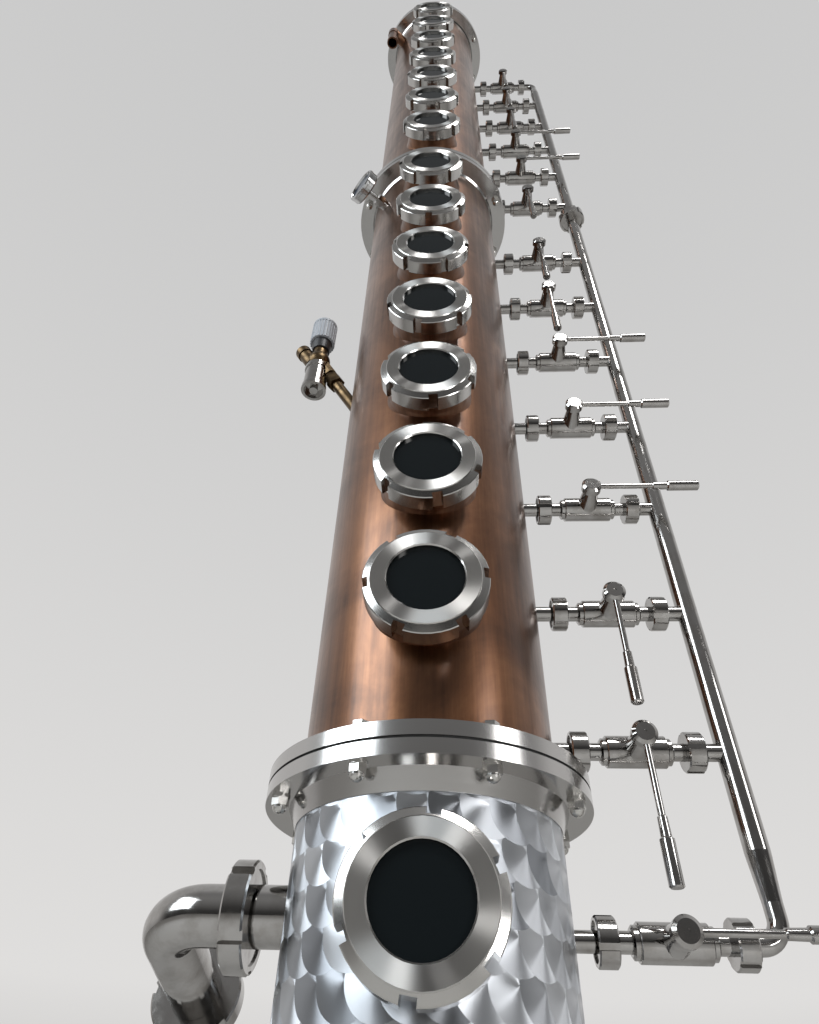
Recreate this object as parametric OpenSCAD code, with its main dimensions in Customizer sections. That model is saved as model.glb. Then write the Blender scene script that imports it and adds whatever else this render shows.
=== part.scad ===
// Distillation column: a copper plate column with a sight glass at every plate, on a stainless
// steel base vessel, with a stainless riser that reaches every plate through its own valve.
// Millimetres, +Z up. The origin is on the column's axis at floor level, and the sight glasses face -Y.

/* [Column shell] */
// Outer diameter of the copper shell and of the stainless base
shell_od = 300; // [292:1:308]
// Thickness of the copper and stainless sheet
shell_wall = 3; // [2:0.5:4]
// Height of one copper section, from flange joint to flange joint
section_h = 1480; // [1470:1:1520]
// Height of the joint between base and copper above the floor
base_joint_h = 1596; // [1500:1:1800]
// Height of the lower edge of the base shell above the floor
base_bottom_h = 420; // [380:1:480]
// Depth of the dished bottom
dish_h = 60; // [40:1:80]
// Straight height of the head above the top joint
head_straight_h = 110; // [80:1:160]
// Rise of the domed head
dome_h = 85; // [60:1:110]

/* [Flanges] */
// Outer diameter of the flange rings
flange_od = 374; // [366:1:390]
// Thickness of one flange ring
ring_t = 16; // [12:0.5:18]
// Thickness of a gasket
gasket_t = 3; // [2:0.5:4]
// Pitch circle of the flange bolts
bolt_circle_d = 346; // [340:1:350]
// Number of flange bolts
bolt_n = 8; // [8:4:12]
// Diameter of the flange bolt holes
bolt_hole_d = 12; // [11:0.5:13]
// Leg of the weld between ring and shell
weld_h = 5; // [3:0.5:6]
// Height of the hub under the base flange
hub_ring_h = 22; // [10:1:30]

/* [Sight glasses] */
// Plates in one copper section
plates_n = 7; // [7:1:7]
// First glass above the base joint
lower_first_h = 184; // [170:1:190]
// Last glass of the lower section below the middle joint
lower_last_drop = 96; // [88:1:110]
// First glass above the middle joint
upper_first_h = 175; // [165:1:190]
// Last glass of the upper section below the top joint
upper_last_drop = 105; // [90:1:115]
// Glass of the base below the base joint
base_glass_drop = 143; // [135:1:160]
// Outer diameter of a glass nut
glass_nut_d = 148; // [140:1:152]
// Clear opening in the face of a glass nut
glass_open_d = 91; // [80:1:94]
// Width of a glass nut, front to back
glass_nut_w = 30; // [26:1:34]
// Thickness of the glass nut's front lip
glass_lip_t = 6; // [5:0.5:8]
// Wall of the nut's threaded skirt
glass_skirt_t = 10; // [9:0.5:12]
// Height of the nut's face above the shell
glass_stand = 50; // [46:1:56]
// Thickness of a glass pane
pane_t = 8; // [6:0.5:10]
// Bevelled rim of a glass nut's face, measured inwards
glass_bevel_w = 9; // [8.5:0.5:11]
// Fall of the bevelled rim
glass_bevel_t = 5; // [4:0.5:7]
// Outward flare where a collar meets the shell
collar_flare = 7; // [4:1:9]
// Spanner slots in a glass nut
glass_slots = 6; // [4:1:6]
// Width of a spanner slot
glass_slot_w = 14; // [10:1:16]
// Depth of a spanner slot
glass_slot_d = 7; // [4:0.5:7.5]

/* [Valve rows] */
// Valve row of a lower plate below its glass
lower_row_drop = 120; // [110:1:130]
// Valve row of an upper plate below its glass
upper_row_drop = 95; // [85:1:105]
// Base valve row below the base joint
base_row_drop = 136; // [125:1:150]
// Outer diameter of the branch tubes
branch_d = 21; // [18:0.5:22]
// Wall of the branch tubes
branch_wall = 1.5; // [1:0.5:2]
// Length of a branch stub between shell and union
stub_len = 22; // [18:1:30]
// Outer diameter of a small union nut
union_d = 48; // [44:1:50]
// Width of a small union nut
union_w = 21; // [20:1:24]
// Neck between union and valve body
neck_len = 15; // [12:1:20]
// Length of a valve body
valve_len = 86; // [80:1:92]
// Diameter of a valve body
valve_d = 38; // [36:1:42]
// Diameter of a bonnet at its top
bonnet_d = 21; // [18:0.5:24]
// Taper of a bonnet, added to its radius down to the valve's axis
bonnet_taper = 7; // [4:0.5:8]
// Distance from a valve's axis to the underside of its lever hub
hub_seat = 47; // [44:1:50]
// Diameter of a valve stem
stem_d = 8; // [7:0.5:10]
// Diameter of a lever hub
hub_d = 30; // [27:0.5:32]
// Height of a lever hub
hub_h = 13; // [12.5:0.5:16]
// Lever length from the stem's axis to the tip
lever_len = 162; // [120:1:166]
// Diameter of the lever's rod
rod_d = 8; // [6:0.5:8.5]
// Length of the lever's grip
grip_len = 70; // [60:1:90]
// Diameter of the lever's grip
grip_d = 16; // [14.5:0.5:18]

/* [Riser] */
// Outer diameter of the riser pipe
riser_d = 28; // [26:0.5:30]
// Wall of the riser pipe
riser_wall = 1.5; // [1:0.5:2]
// Gap between the outer unions and the riser pipe
riser_gap = 18; // [15:1:22]
// Bend radius at both ends of the riser
riser_bend_r = 24; // [20:1:26]
// Length of the reducer at both ends of the riser
reducer_len = 50; // [40:1:60]
// Straight small pipe between bend and reducer
tail_len = 14; // [8:1:30]
// Height of the riser's own union above the middle joint
riser_union_rise = 14; // [8:1:24]
// Outer diameter of the riser's union nut
riser_union_d = 63; // [60:1:66]
// Width of the riser's union nut
riser_union_w = 28; // [24:1:30]

/* [Base outlet] */
// Outlet below the base joint
outlet_drop = 119; // [100:1:140]
// Outer diameter of the outlet pipe
outlet_d = 60; // [54:1:63]
// Wall of the outlet pipe
outlet_wall = 1.5; // [1:0.5:3]
// Length of the outlet stub
outlet_stub_len = 34; // [30:1:50]
// Outer diameter of the outlet unions
outlet_union_d = 108; // [104:1:112]
// Width of the outlet unions
outlet_union_w = 25; // [24:1:30]
// Straight run before the outlet elbow's bend
outlet_run = 27; // [15:1:35]
// Bend radius of the outlet elbow
outlet_bend_r = 50; // [42:1:60]
// Straight run after the outlet elbow's bend
outlet_leg = 128; // [80:1:150]
// Fall of the pipe past the elbow, in degrees
outlet_fall = 15; // [0:1:30]

/* [Left fittings] */
// Thermometer below the middle joint
thermo_drop = 113; // [100:1:140]
// Turn of the thermometer from the front, in degrees
thermo_turn = 47; // [44:1:54]
// Diameter of the thermometer's dial
dial_d = 80; // [63:1:84]
// Length of the thermometer's stem outside the shell
thermo_stem_len = 57; // [50:1:70]
// Foot of the sloping feed branch above the base joint
feed_rise = 739; // [730:1:752]
// Slope of the feed branch, in degrees
feed_slope = 60; // [56:1:64]
// Length of the feed branch from the shell to the regulator's centre
feed_reach = 164; // [156:1:176]
// Outer diameter of the feed branch
feed_d = 22; // [18:0.5:24]
// Diameter of the regulator's hand knob
knob_d = 52; // [46:1:56]
// Height of the regulator's hand knob
knob_h = 64; // [50:1:70]
// Diameter of the probe housing
probe_d = 45; // [40:1:50]
// Height of the probe housing
probe_h = 74; // [60:1:84]

/* [Head] */
// Outer diameter of the vapour pipe on the head
vapour_d = 76; // [70:1:85]
// Length of the vapour pipe above the dome
vapour_len = 110; // [80:1:150]
// Outer diameter of the vapour union nut
vapour_union_d = 118; // [112:1:124]

/* [Legs] */
// Circle through the leg centres
leg_circle_d = 470; // [450:1:500]
// Outer diameter of a leg tube
leg_d = 60; // [54:1:70]
// Wall of a leg tube
leg_wall = 3; // [2:0.5:5]
// Height of the top of the legs above the floor
leg_top_h = 860; // [760:10:1000]
// Diameter of a foot plate
pad_d = 150; // [140:1:170]
// Thickness of a foot plate
pad_t = 12; // [8:1:16]
// Circle through the anchor holes
anchor_circle_d = 566; // [560:1:580]
// Diameter of an anchor hole
anchor_d = 14; // [12:0.5:16]
// Height of a gusset plate
gusset_h = 130; // [100:5:160]
// Thickness of a gusset plate
gusset_t = 8; // [6:0.5:12]
// Outer diameter of the drain stub
drain_d = 41; // [38:1:45]
// Length of the drain stub below the dish
drain_len = 60; // [50:1:80]
// Outer diameter of the drain's blind nut
drain_nut_d = 78; // [74:1:84]

/* [Side nozzle] */
// Height of the nozzle's branch below the top joint
nozzle_below_top = 150; // [60:1:220]
// Direction of the nozzle, left of the glasses
nozzle_turn = 50; // [35:1:70]
// Distance of the nozzle's drop pipe from the column's axis
nozzle_reach = 196; // [188:1:230]
// Length of the nozzle's drop pipe
nozzle_drop = 120; // [60:1:180]
// Outer diameter of the nozzle's pipe
nozzle_d = 35; // [28:1:38]

/* [Hidden] */
$fn = 96;
copper = "#b5704c";
steel = "#c4c8cc";
satin = "#a9adb1";
brass = "#8a6f45";
dark = "#25282a";
cut = 0.5;
slack = 0.2;
run_gap = 0.3;
pin_gap = 0.05;

shell_r = shell_od / 2;
bore_r = shell_r - shell_wall;
half_gasket = gasket_t / 2;
mid_joint_h = base_joint_h + section_h;
top_joint_h = mid_joint_h + section_h;
base_glass_h = base_joint_h - base_glass_drop;
lower_pitch = (section_h - lower_first_h - lower_last_drop) / (plates_n - 1);
upper_pitch = (section_h - upper_first_h - upper_last_drop) / (plates_n - 1);
lower_glass_h = [for (i = [0 : plates_n - 1]) base_joint_h + lower_first_h + i * lower_pitch];
upper_glass_h = [for (i = [0 : plates_n - 1]) mid_joint_h + upper_first_h + i * upper_pitch];
lower_row_h = [for (h = lower_glass_h) h - lower_row_drop];
upper_row_h = [for (i = [0 : plates_n - 2]) upper_glass_h[i] - upper_row_drop];
base_row_h = base_joint_h - base_row_drop;
row_h = concat([base_row_h], lower_row_h, upper_row_h);
rows_n = len(row_h);
top_row_h = row_h[rows_n - 1];
lever_turn = [0, 90, 90, 0, 0, 0, 90, 90, 90, 0, 0, 90, 90, 90];

face_r = shell_r + glass_stand;
glass_bore_r = glass_nut_d / 2 - glass_skirt_t - 3.7;
collar_wall = 12;

branch_r = branch_d / 2;
union_r = union_d / 2;
union_lip = 4;
collar_t = 4;
male_r = union_r - 5;
male_start = 2;
male_len = union_w - union_lip - collar_t - male_start;
valve_x = shell_r + stub_len + union_w + neck_len + valve_len / 2;
riser_r = riser_d / 2;
riser_x = 2 * valve_x - shell_r - stub_len + riser_gap + riser_r;
riser_end_x = riser_x - riser_bend_r;
riser_z0 = base_row_h + riser_bend_r + tail_len + reducer_len;
riser_z1 = top_row_h - riser_bend_r - tail_len - reducer_len;
riser_split = mid_joint_h + riser_union_rise;
outlet_h = base_joint_h - outlet_drop;
outlet_x = shell_r + outlet_stub_len;
feed_h = base_joint_h + feed_rise;
regulator_x = -shell_r - feed_reach * cos(feed_slope);
regulator_h = feed_h + feed_reach * sin(feed_slope);
spring_h = top_joint_h + head_straight_h;
head_top_h = spring_h + dome_h + vapour_len;
drain_end_h = base_bottom_h - dish_h - drain_len;

module facing_front(h) {
    translate([0, 0, h])
        rotate([90, 0, 0])
            children();
}

module along_row(h) {
    translate([0, 0, h])
        rotate([0, 90, 0])
            children();
}

module at_legs(circle_d) {
    for (i = [0 : 3])
        rotate([0, 0, 45 + i * 90])
            translate([circle_d / 2, 0, 0])
                children();
}

module ring(outer_r, inner_r, z0, z1) {
    difference() {
        translate([0, 0, z0])
            cylinder(r = outer_r, h = z1 - z0);
        translate([0, 0, z0 - cut])
            cylinder(r = inner_r, h = z1 - z0 + 2 * cut);
    }
}

// Slotted round union nut with its lip at z = 0 and its thread open at the top
module slotted_nut(r, w, hole_r, bore_r, lip, slots, slot_w, slot_d, chamfer) {
    difference() {
        rotate_extrude()
            polygon([[hole_r, 0], [r - chamfer, 0], [r, chamfer], [r, w - chamfer], [r - chamfer, w],
                     [bore_r, w], [bore_r, lip], [hole_r, lip]]);
        for (i = [0 : slots - 1])
            rotate([0, 0, i * 360 / slots])
                translate([r - slot_d, -slot_w / 2, -cut])
                    cube([slot_d + cut, slot_w, w + 2 * cut]);
    }
}

module flange_holes(h) {
    for (i = [0 : bolt_n - 1])
        rotate([0, 0, (i + 0.5) * 360 / bolt_n])
            translate([bolt_circle_d / 2, 0, h - cut])
                cylinder(d = bolt_hole_d, h = ring_t + 2 * cut, $fn = 48);
}

// Flange ring with a weld or hub of its own height under it
module flange_ring(z0, below_h, below_w) {
    difference() {
        union() {
            translate([0, 0, z0])
                cylinder(r = flange_od / 2, h = ring_t);
            translate([0, 0, z0 - below_h])
                cylinder(r1 = shell_r + 1, r2 = shell_r + below_w, h = below_h);
        }
        translate([0, 0, z0 - below_h - cut])
            cylinder(r = shell_r, h = ring_t + below_h + 2 * cut);
        flange_holes(z0);
    }
}

module ring_over(h) {
    translate([0, 0, h + half_gasket + ring_t])
        mirror([0, 0, 1])
            flange_ring(0, weld_h, weld_h);
}

module ring_under(h, below_h, below_w) {
    translate([0, 0, h - half_gasket - ring_t])
        flange_ring(0, below_h, below_w);
}

module glass_holes(heights, r) {
    for (h = heights)
        facing_front(h)
            cylinder(r = r, h = shell_r + cut);
}

module row_holes(heights) {
    for (h = heights)
        along_row(h)
            cylinder(r = branch_r - branch_wall, h = shell_r + cut, $fn = 48);
}

module foot_plates() {
    color(satin)
        difference() {
            at_legs(leg_circle_d)
                cylinder(d = pad_d, h = pad_t);
            at_legs(anchor_circle_d)
                translate([0, 0, -cut])
                    cylinder(d = anchor_d, h = pad_t + 2 * cut, $fn = 48);
        }
}

// Closed tubes, each with two gusset plates cut to the shell's curve
module legs() {
    gap = leg_circle_d / 2 - shell_r;
    color(satin)
        difference() {
            at_legs(leg_circle_d) {
                translate([0, 0, pad_t])
                    cylinder(d = leg_d, h = leg_top_h - pad_t);
                for (h = [base_bottom_h + 20, leg_top_h - gusset_h - 20])
                    translate([-gap - 6, -gusset_t / 2, h])
                        cube([gap - leg_d / 2 + 9, gusset_t, gusset_h]);
            }
            at_legs(leg_circle_d)
                translate([0, 0, pad_t - cut])
                    cylinder(r = leg_d / 2 - leg_wall, h = leg_top_h - pad_t - leg_wall + cut);
            translate([0, 0, base_bottom_h])
                cylinder(r = shell_r, h = leg_top_h - base_bottom_h);
        }
}

module base_dish() {
    dish_r = (shell_r * shell_r + dish_h * dish_h) / (2 * dish_h);
    color(steel)
        difference() {
            translate([0, 0, base_bottom_h - dish_h + dish_r])
                sphere(r = dish_r);
            translate([0, 0, base_bottom_h - dish_h + dish_r])
                sphere(r = dish_r - shell_wall);
            translate([-dish_r - 1, -dish_r - 1, base_bottom_h])
                cube([2 * dish_r + 2, 2 * dish_r + 2, 2 * dish_r]);
            translate([0, 0, base_bottom_h - 2 * dish_h])
                cylinder(d = drain_d, h = 2 * dish_h);
        }
}

module drain_ferrule() {
    top = base_bottom_h - dish_h + 12;
    color(steel)
        difference() {
            union() {
                translate([0, 0, drain_end_h])
                    cylinder(d = drain_d, h = top - drain_end_h);
                translate([0, 0, drain_end_h])
                    cylinder(d = drain_nut_d - 18, h = 16);
            }
            translate([0, 0, drain_end_h - cut])
                cylinder(d = drain_d - 3, h = top - drain_end_h + 2 * cut);
        }
}

// Blind nut that closes the drain
module drain_blind_nut() {
    r = drain_nut_d / 2;
    color(steel)
        translate([0, 0, drain_end_h - 8]) {
            slotted_nut(r, 24, r - 12, r - 9 + slack, 8, 4, 8, 3, 2);
            cylinder(r = r - 11, h = 8);
        }
}

module base_shell() {
    color(steel)
        difference() {
            ring(shell_r, bore_r, base_bottom_h, base_joint_h - half_gasket);
            glass_holes([base_glass_h], glass_bore_r - collar_wall);
            row_holes([base_row_h]);
            translate([0, 0, outlet_h])
                rotate([0, -90, 0])
                    cylinder(r = outlet_d / 2 - outlet_wall, h = shell_r + cut);
        }
}

module base_flange_rings() {
    color(steel) {
        ring_under(base_joint_h, hub_ring_h, 10);
        ring_over(base_joint_h);
    }
}

module middle_flange_rings() {
    color(steel) {
        ring_under(mid_joint_h, weld_h, weld_h);
        ring_over(mid_joint_h);
    }
}

module top_flange_rings() {
    color(steel) {
        ring_under(top_joint_h, weld_h, weld_h);
        ring_over(top_joint_h);
    }
}

module joint_gaskets() {
    color(dark)
        for (h = [base_joint_h, mid_joint_h, top_joint_h])
            difference() {
                ring(flange_od / 2 - 2, bore_r, h - half_gasket, h + half_gasket);
                flange_holes(h - half_gasket);
            }
}

module copper_shell(z0, z1, glasses, rows) {
    color(copper)
        difference() {
            ring(shell_r, bore_r, z0 + half_gasket, z1 - half_gasket);
            glass_holes(glasses, glass_bore_r - collar_wall);
            row_holes(rows);
        }
}

module lower_shell() {
    copper_shell(base_joint_h, mid_joint_h, lower_glass_h, lower_row_h);
}

module upper_shell() {
    copper_shell(mid_joint_h, top_joint_h, upper_glass_h, upper_row_h);
}

// Straight collar closed by part of a sphere, with a hole for the vapour pipe
module head_dome() {
    dome_r = (shell_r * shell_r + dome_h * dome_h) / (2 * dome_h);
    color(copper)
        difference() {
            union() {
                translate([0, 0, top_joint_h + half_gasket])
                    cylinder(r = shell_r, h = head_straight_h - half_gasket);
                intersection() {
                    translate([0, 0, spring_h + dome_h - dome_r])
                        sphere(r = dome_r);
                    translate([0, 0, spring_h])
                        cylinder(r = shell_r, h = dome_h + 1);
                }
            }
            translate([0, 0, top_joint_h])
                cylinder(r = bore_r, h = head_straight_h - 4);
            translate([0, 0, spring_h - 10])
                cylinder(d = vapour_d, h = dome_h + 20);
            intersection() {
                translate([0, 0, spring_h + dome_h - dome_r])
                    sphere(r = dome_r - shell_wall);
                translate([0, 0, spring_h - 5])
                    cylinder(r = bore_r, h = dome_h);
            }
        }
}

module vapour_neck() {
    color(copper)
        difference() {
            union() {
                translate([0, 0, spring_h + dome_h - 20])
                    cylinder(d = vapour_d, h = vapour_len + 20);
                translate([0, 0, head_top_h - 10])
                    cylinder(d = vapour_d + 18, h = 10);
            }
            translate([0, 0, spring_h])
                cylinder(d = vapour_d - 2 * shell_wall, h = head_top_h - spring_h + cut);
        }
}

// Union nut that hangs on the vapour neck's flange, ready for the pipe above
module vapour_nut() {
    bore = vapour_d / 2 + 9.5;
    color(steel)
        translate([0, 0, head_top_h - 17])
            slotted_nut(vapour_union_d / 2, 32, vapour_d / 2 + slack, bore, 7, 4, 12, 4, 2);
}

// Collar drawn out of the shell: a tube with a hollow flare at its foot, cut to the shell's curve
module glass_collar(h) {
    front = face_r - glass_lip_t - pane_t;
    r = glass_bore_r - run_gap;
    in_r = glass_bore_r - collar_wall;
    deep = shell_r - 40;
    difference() {
        facing_front(h)
            rotate_extrude()
                polygon([[in_r, deep], [r + collar_flare, deep], [r + collar_flare, shell_r - 14],
                         [r + collar_flare * 0.55, shell_r - 6], [r + collar_flare * 0.2, shell_r + 4],
                         [r, shell_r + 16], [r, front], [in_r, front]]);
        translate([0, 0, h - glass_nut_d])
            cylinder(r = shell_r, h = 2 * glass_nut_d);
    }
}

module base_glass_collar() {
    color(steel)
        glass_collar(base_glass_h);
}

module copper_collars() {
    color(copper)
        for (h = concat(lower_glass_h, upper_glass_h))
            glass_collar(h);
}

// Small copper branch with a socket elbow turned down, open at its end and cut to the shell's curve
module side_nozzle() {
    h = top_joint_h - nozzle_below_top;
    socket_d = nozzle_d + 5;
    bore_d = nozzle_d - 4;
    inwards = nozzle_reach - shell_r + 10;
    color(copper)
        rotate([0, 0, -nozzle_turn])
            difference() {
                union() {
                    translate([0, -nozzle_reach, h]) {
                        sphere(d = socket_d);
                        rotate([-90, 0, 0]) {
                            cylinder(d = nozzle_d, h = inwards);
                            cylinder(d = socket_d - 1, h = 30);
                        }
                    }
                    translate([0, -nozzle_reach, h - nozzle_drop])
                        cylinder(d = nozzle_d, h = nozzle_drop);
                    translate([0, -nozzle_reach, h - 30])
                        cylinder(d = socket_d - 1, h = 30);
                    translate([0, -nozzle_reach, h - nozzle_drop])
                        cylinder(d = socket_d - 1, h = 24);
                }
                translate([0, -nozzle_reach, h]) {
                    sphere(d = bore_d + 1);
                    rotate([-90, 0, 0])
                        cylinder(d = bore_d, h = inwards + cut);
                }
                translate([0, -nozzle_reach, h - nozzle_drop - cut])
                    cylinder(d = bore_d, h = nozzle_drop + cut);
                translate([0, 0, h - socket_d])
                    cylinder(r = shell_r, h = 2 * socket_d);
            }
}

// Slotted round nut: flat face, a small step, then a bevelled rim, turned by its own angle
module glass_nut(h, turn) {
    r = glass_nut_d / 2;
    open_r = glass_open_d / 2;
    back = face_r - glass_nut_w;
    rim_r = r - glass_bevel_w;
    facing_front(h)
        rotate([0, 0, turn])
            difference() {
                rotate_extrude()
                    polygon([[open_r, face_r - glass_lip_t], [open_r, face_r - 1.5], [open_r + 1.5, face_r],
                             [rim_r - 1, face_r], [rim_r, face_r - 1], [rim_r, face_r - 2],
                             [r - 1, face_r - glass_bevel_t], [r, face_r - glass_bevel_t - 1],
                             [r, back + 2], [r - 2, back], [glass_bore_r, back],
                             [glass_bore_r, face_r - glass_lip_t]]);
                for (i = [0 : glass_slots - 1])
                    rotate([0, 0, i * 360 / glass_slots])
                        translate([r - glass_slot_d, -glass_slot_w / 2, back - cut])
                            cube([glass_slot_d + cut, glass_slot_w, glass_nut_w + 2 * cut]);
            }
}

module glass_nuts() {
    color(steel) {
        glass_nut(base_glass_h, 22);
        for (i = [0 : plates_n - 1])
            glass_nut(lower_glass_h[i], [5, 41, 36, 14, 52, 27, 3][i]);
        for (i = [0 : plates_n - 1])
            glass_nut(upper_glass_h[i], 19 + i * 23);
    }
}

module glass_panes() {
    color(dark)
        for (h = concat([base_glass_h], lower_glass_h, upper_glass_h))
            facing_front(h)
                translate([0, 0, face_r - glass_lip_t - pane_t])
                    cylinder(r = glass_bore_r - 6, h = pane_t);
}

// Stub from the shell to the first union, cut to the shell's curve
module valve_stub(h) {
    start = shell_r + stub_len + male_start;
    difference() {
        along_row(h)
            difference() {
                union() {
                    translate([0, 0, shell_r - 4])
                        cylinder(r = branch_r, h = stub_len + male_start + 8);
                    translate([0, 0, start])
                        cylinder(r = male_r, h = male_len);
                }
                translate([0, 0, shell_r - 5])
                    cylinder(r = branch_r - branch_wall, h = stub_len + 40);
            }
        translate([0, 0, h - branch_d])
            cylinder(r = shell_r, h = 2 * branch_d);
    }
}

module valve_stubs() {
    color(steel)
        for (h = row_h)
            valve_stub(h);
}

module small_union_nut() {
    slotted_nut(union_r, union_w, branch_r + slack, male_r + slack, union_lip, 4, 7, 2.5, 1.5);
}

module valve_unions() {
    color(steel)
        for (i = [0 : rows_n - 1])
            along_row(row_h[i]) {
                translate([0, 0, shell_r + stub_len + union_w])
                    rotate([180, 0, 20 + i * 31])
                        small_union_nut();
                translate([0, 0, 2 * valve_x - shell_r - stub_len - union_w])
                    rotate([0, 0, 55 + i * 37])
                        small_union_nut();
            }
}

// Turned valve body with stepped ends, necks and the two union flanges, as one piece
module valve_body(h) {
    half = valve_len / 2;
    seat = half + neck_len + union_lip;
    end = seat + collar_t;
    cap_r = male_r - 2;
    r = valve_d / 2;
    along_row(h)
        translate([0, 0, valve_x])
            rotate_extrude()
                polygon([[0, -end], [cap_r, -end], [cap_r, -seat], [branch_r, -seat], [branch_r, -half],
                         [r - 6, -half], [r - 3, 2 - half], [r - 3, 7 - half], [r - 1, 7 - half],
                         [r, 8 - half], [r, half - 8], [r - 1, half - 7], [r - 3, half - 7],
                         [r - 3, half - 2], [r - 6, half], [branch_r, half], [branch_r, seat],
                         [cap_r, seat], [cap_r, end], [0, end]]);
}

module valve_bodies() {
    color(satin)
        for (h = row_h)
            valve_body(h);
}

// Bonnet seated on the round body, with the stem that the lever turns on
module valve_bonnet(h) {
    difference() {
        translate([valve_x, 0, 0])
            facing_front(h) {
                cylinder(r1 = bonnet_d / 2 + bonnet_taper, r2 = bonnet_d / 2, h = hub_seat - run_gap);
                cylinder(d = stem_d, h = hub_seat + hub_h - 6, $fn = 48);
            }
        along_row(h)
            translate([0, 0, valve_x - valve_len / 2 + 8])
                cylinder(d = valve_d, h = valve_len - 16);
    }
}

module valve_bonnets() {
    color(steel)
        for (h = row_h)
            valve_bonnet(h);
}

// Hand lever: hub over the stem, thin rod and a thicker grip
module lever(index) {
    grip_start = lever_len - grip_len;
    color(steel)
        translate([valve_x, 0, 0])
            facing_front(row_h[index])
                rotate([0, 0, -lever_turn[index]])
                    difference() {
                        union() {
                            translate([0, 0, hub_seat])
                                cylinder(d = hub_d, h = hub_h - 3);
                            translate([0, 0, hub_seat + hub_h - 3])
                                cylinder(d1 = hub_d, d2 = hub_d - 8, h = 3);
                            translate([0, 0, hub_seat + hub_h / 2])
                                rotate([0, 90, 0])
                                    rotate_extrude()
                                        polygon([[0, hub_d / 2 - 3], [rod_d / 2, hub_d / 2 - 3],
                                                 [rod_d / 2, grip_start], [rod_d / 2 + 1.5, grip_start + 1.5],
                                                 [grip_d / 2 - 2, grip_start + 22],
                                                 [grip_d / 2, grip_start + 24], [grip_d / 2, lever_len - 1.5],
                                                 [grip_d / 2 - 1.5, lever_len], [0, lever_len]]);
                        }
                        translate([0, 0, hub_seat - cut])
                            cylinder(d = stem_d + 2 * pin_gap, h = hub_h - 5 + cut, $fn = 48);
                        translate([0, 0, hub_seat + hub_h - 1])
                            cylinder(d = 4, h = 2, $fn = 48);
                    }
}

module lever_01() { lever(0); }
module lever_02() { lever(1); }
module lever_03() { lever(2); }
module lever_04() { lever(3); }
module lever_05() { lever(4); }
module lever_06() { lever(5); }
module lever_07() { lever(6); }
module lever_08() { lever(7); }
module lever_09() { lever(8); }
module lever_10() { lever(9); }
module lever_11() { lever(10); }
module lever_12() { lever(11); }
module lever_13() { lever(12); }
module lever_14() { lever(13); }

// Branch of the riser with the male half of the outer union
module riser_branch(h, reach) {
    start = 2 * valve_x - shell_r - stub_len - male_start - male_len;
    along_row(h) {
        translate([0, 0, start])
            cylinder(r = male_r, h = male_len);
        translate([0, 0, start + 1])
            cylinder(r = branch_r, h = reach - start - 1);
    }
}

module riser_branch_bore(h) {
    along_row(h)
        translate([0, 0, valve_x])
            cylinder(r = branch_r - branch_wall, h = riser_x - valve_x, $fn = 48);
}

// Reducer, small straight pipe and bend that close the riser, built downwards from z = 0
module riser_end() {
    translate([0, 0, -reducer_len])
        cylinder(r1 = branch_r, r2 = riser_r, h = reducer_len);
    translate([0, 0, -reducer_len - tail_len])
        cylinder(r = branch_r, h = tail_len);
    translate([-riser_bend_r, 0, -reducer_len - tail_len])
        rotate([-90, 0, 0])
            rotate_extrude(angle = 90)
                translate([riser_bend_r, 0])
                    circle(r = branch_r);
}

module riser_lower() {
    color(steel)
        difference() {
            union() {
                translate([riser_x, 0, riser_z0])
                    cylinder(r = riser_r, h = riser_split - riser_z0);
                translate([riser_x, 0, riser_split - 14])
                    cylinder(r = riser_r + 12, h = 14);
                translate([riser_x, 0, riser_z0])
                    riser_end();
                riser_branch(base_row_h, riser_end_x);
                for (h = lower_row_h)
                    riser_branch(h, riser_x);
            }
            translate([riser_x, 0, riser_z0])
                cylinder(r = riser_r - riser_wall, h = riser_split - riser_z0 + cut);
            for (h = lower_row_h)
                riser_branch_bore(h);
        }
}

module riser_upper() {
    color(steel)
        difference() {
            union() {
                translate([riser_x, 0, riser_split])
                    cylinder(r = riser_r, h = riser_z1 - riser_split);
                translate([riser_x, 0, riser_split])
                    cylinder(r = riser_r + 10, h = 5);
                translate([riser_x, 0, riser_z1])
                    mirror([0, 0, 1])
                        riser_end();
                riser_branch(top_row_h, riser_end_x);
                for (i = [0 : plates_n - 3])
                    riser_branch(upper_row_h[i], riser_x);
            }
            translate([riser_x, 0, riser_split - cut])
                cylinder(r = riser_r - riser_wall, h = riser_z1 - riser_split + cut);
            for (i = [0 : plates_n - 3])
                riser_branch_bore(upper_row_h[i]);
        }
}

// The nut hangs on the upper pipe's flange and covers the lower pipe's thread
module riser_union_nut() {
    color(steel)
        translate([riser_x, 0, riser_split + 10])
            rotate([180, 0, 20])
                slotted_nut(riser_union_d / 2, riser_union_w, riser_r + slack, riser_r + 12 + slack, 5, 4, 8, 3, 2);
}

module outlet_union(turn) {
    rotate([0, 0, turn])
        slotted_nut(outlet_union_d / 2, outlet_union_w, outlet_d / 2 + slack, outlet_union_d / 2 - 9, 7, 5, 12, 5, 2);
}

module outlet_stub() {
    thread_r = outlet_union_d / 2 - 9 - slack;
    color(steel)
        difference() {
            translate([0, 0, outlet_h])
                rotate([0, -90, 0])
                    difference() {
                        union() {
                            translate([0, 0, shell_r - 10])
                                cylinder(d = outlet_d, h = outlet_stub_len + 12);
                            translate([0, 0, outlet_x + 2])
                                cylinder(r = thread_r, h = outlet_union_w - 15);
                        }
                        translate([0, 0, shell_r - 12])
                            cylinder(r = outlet_d / 2 - outlet_wall, h = outlet_stub_len + 60);
                    }
            translate([0, 0, outlet_h - outlet_d])
                cylinder(r = shell_r, h = 2 * outlet_d);
        }
}

module outlet_place() {
    translate([-outlet_x - outlet_union_w - outlet_run, 0, outlet_h])
        rotate([-outlet_fall, 0, 0])
            children();
}

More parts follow.
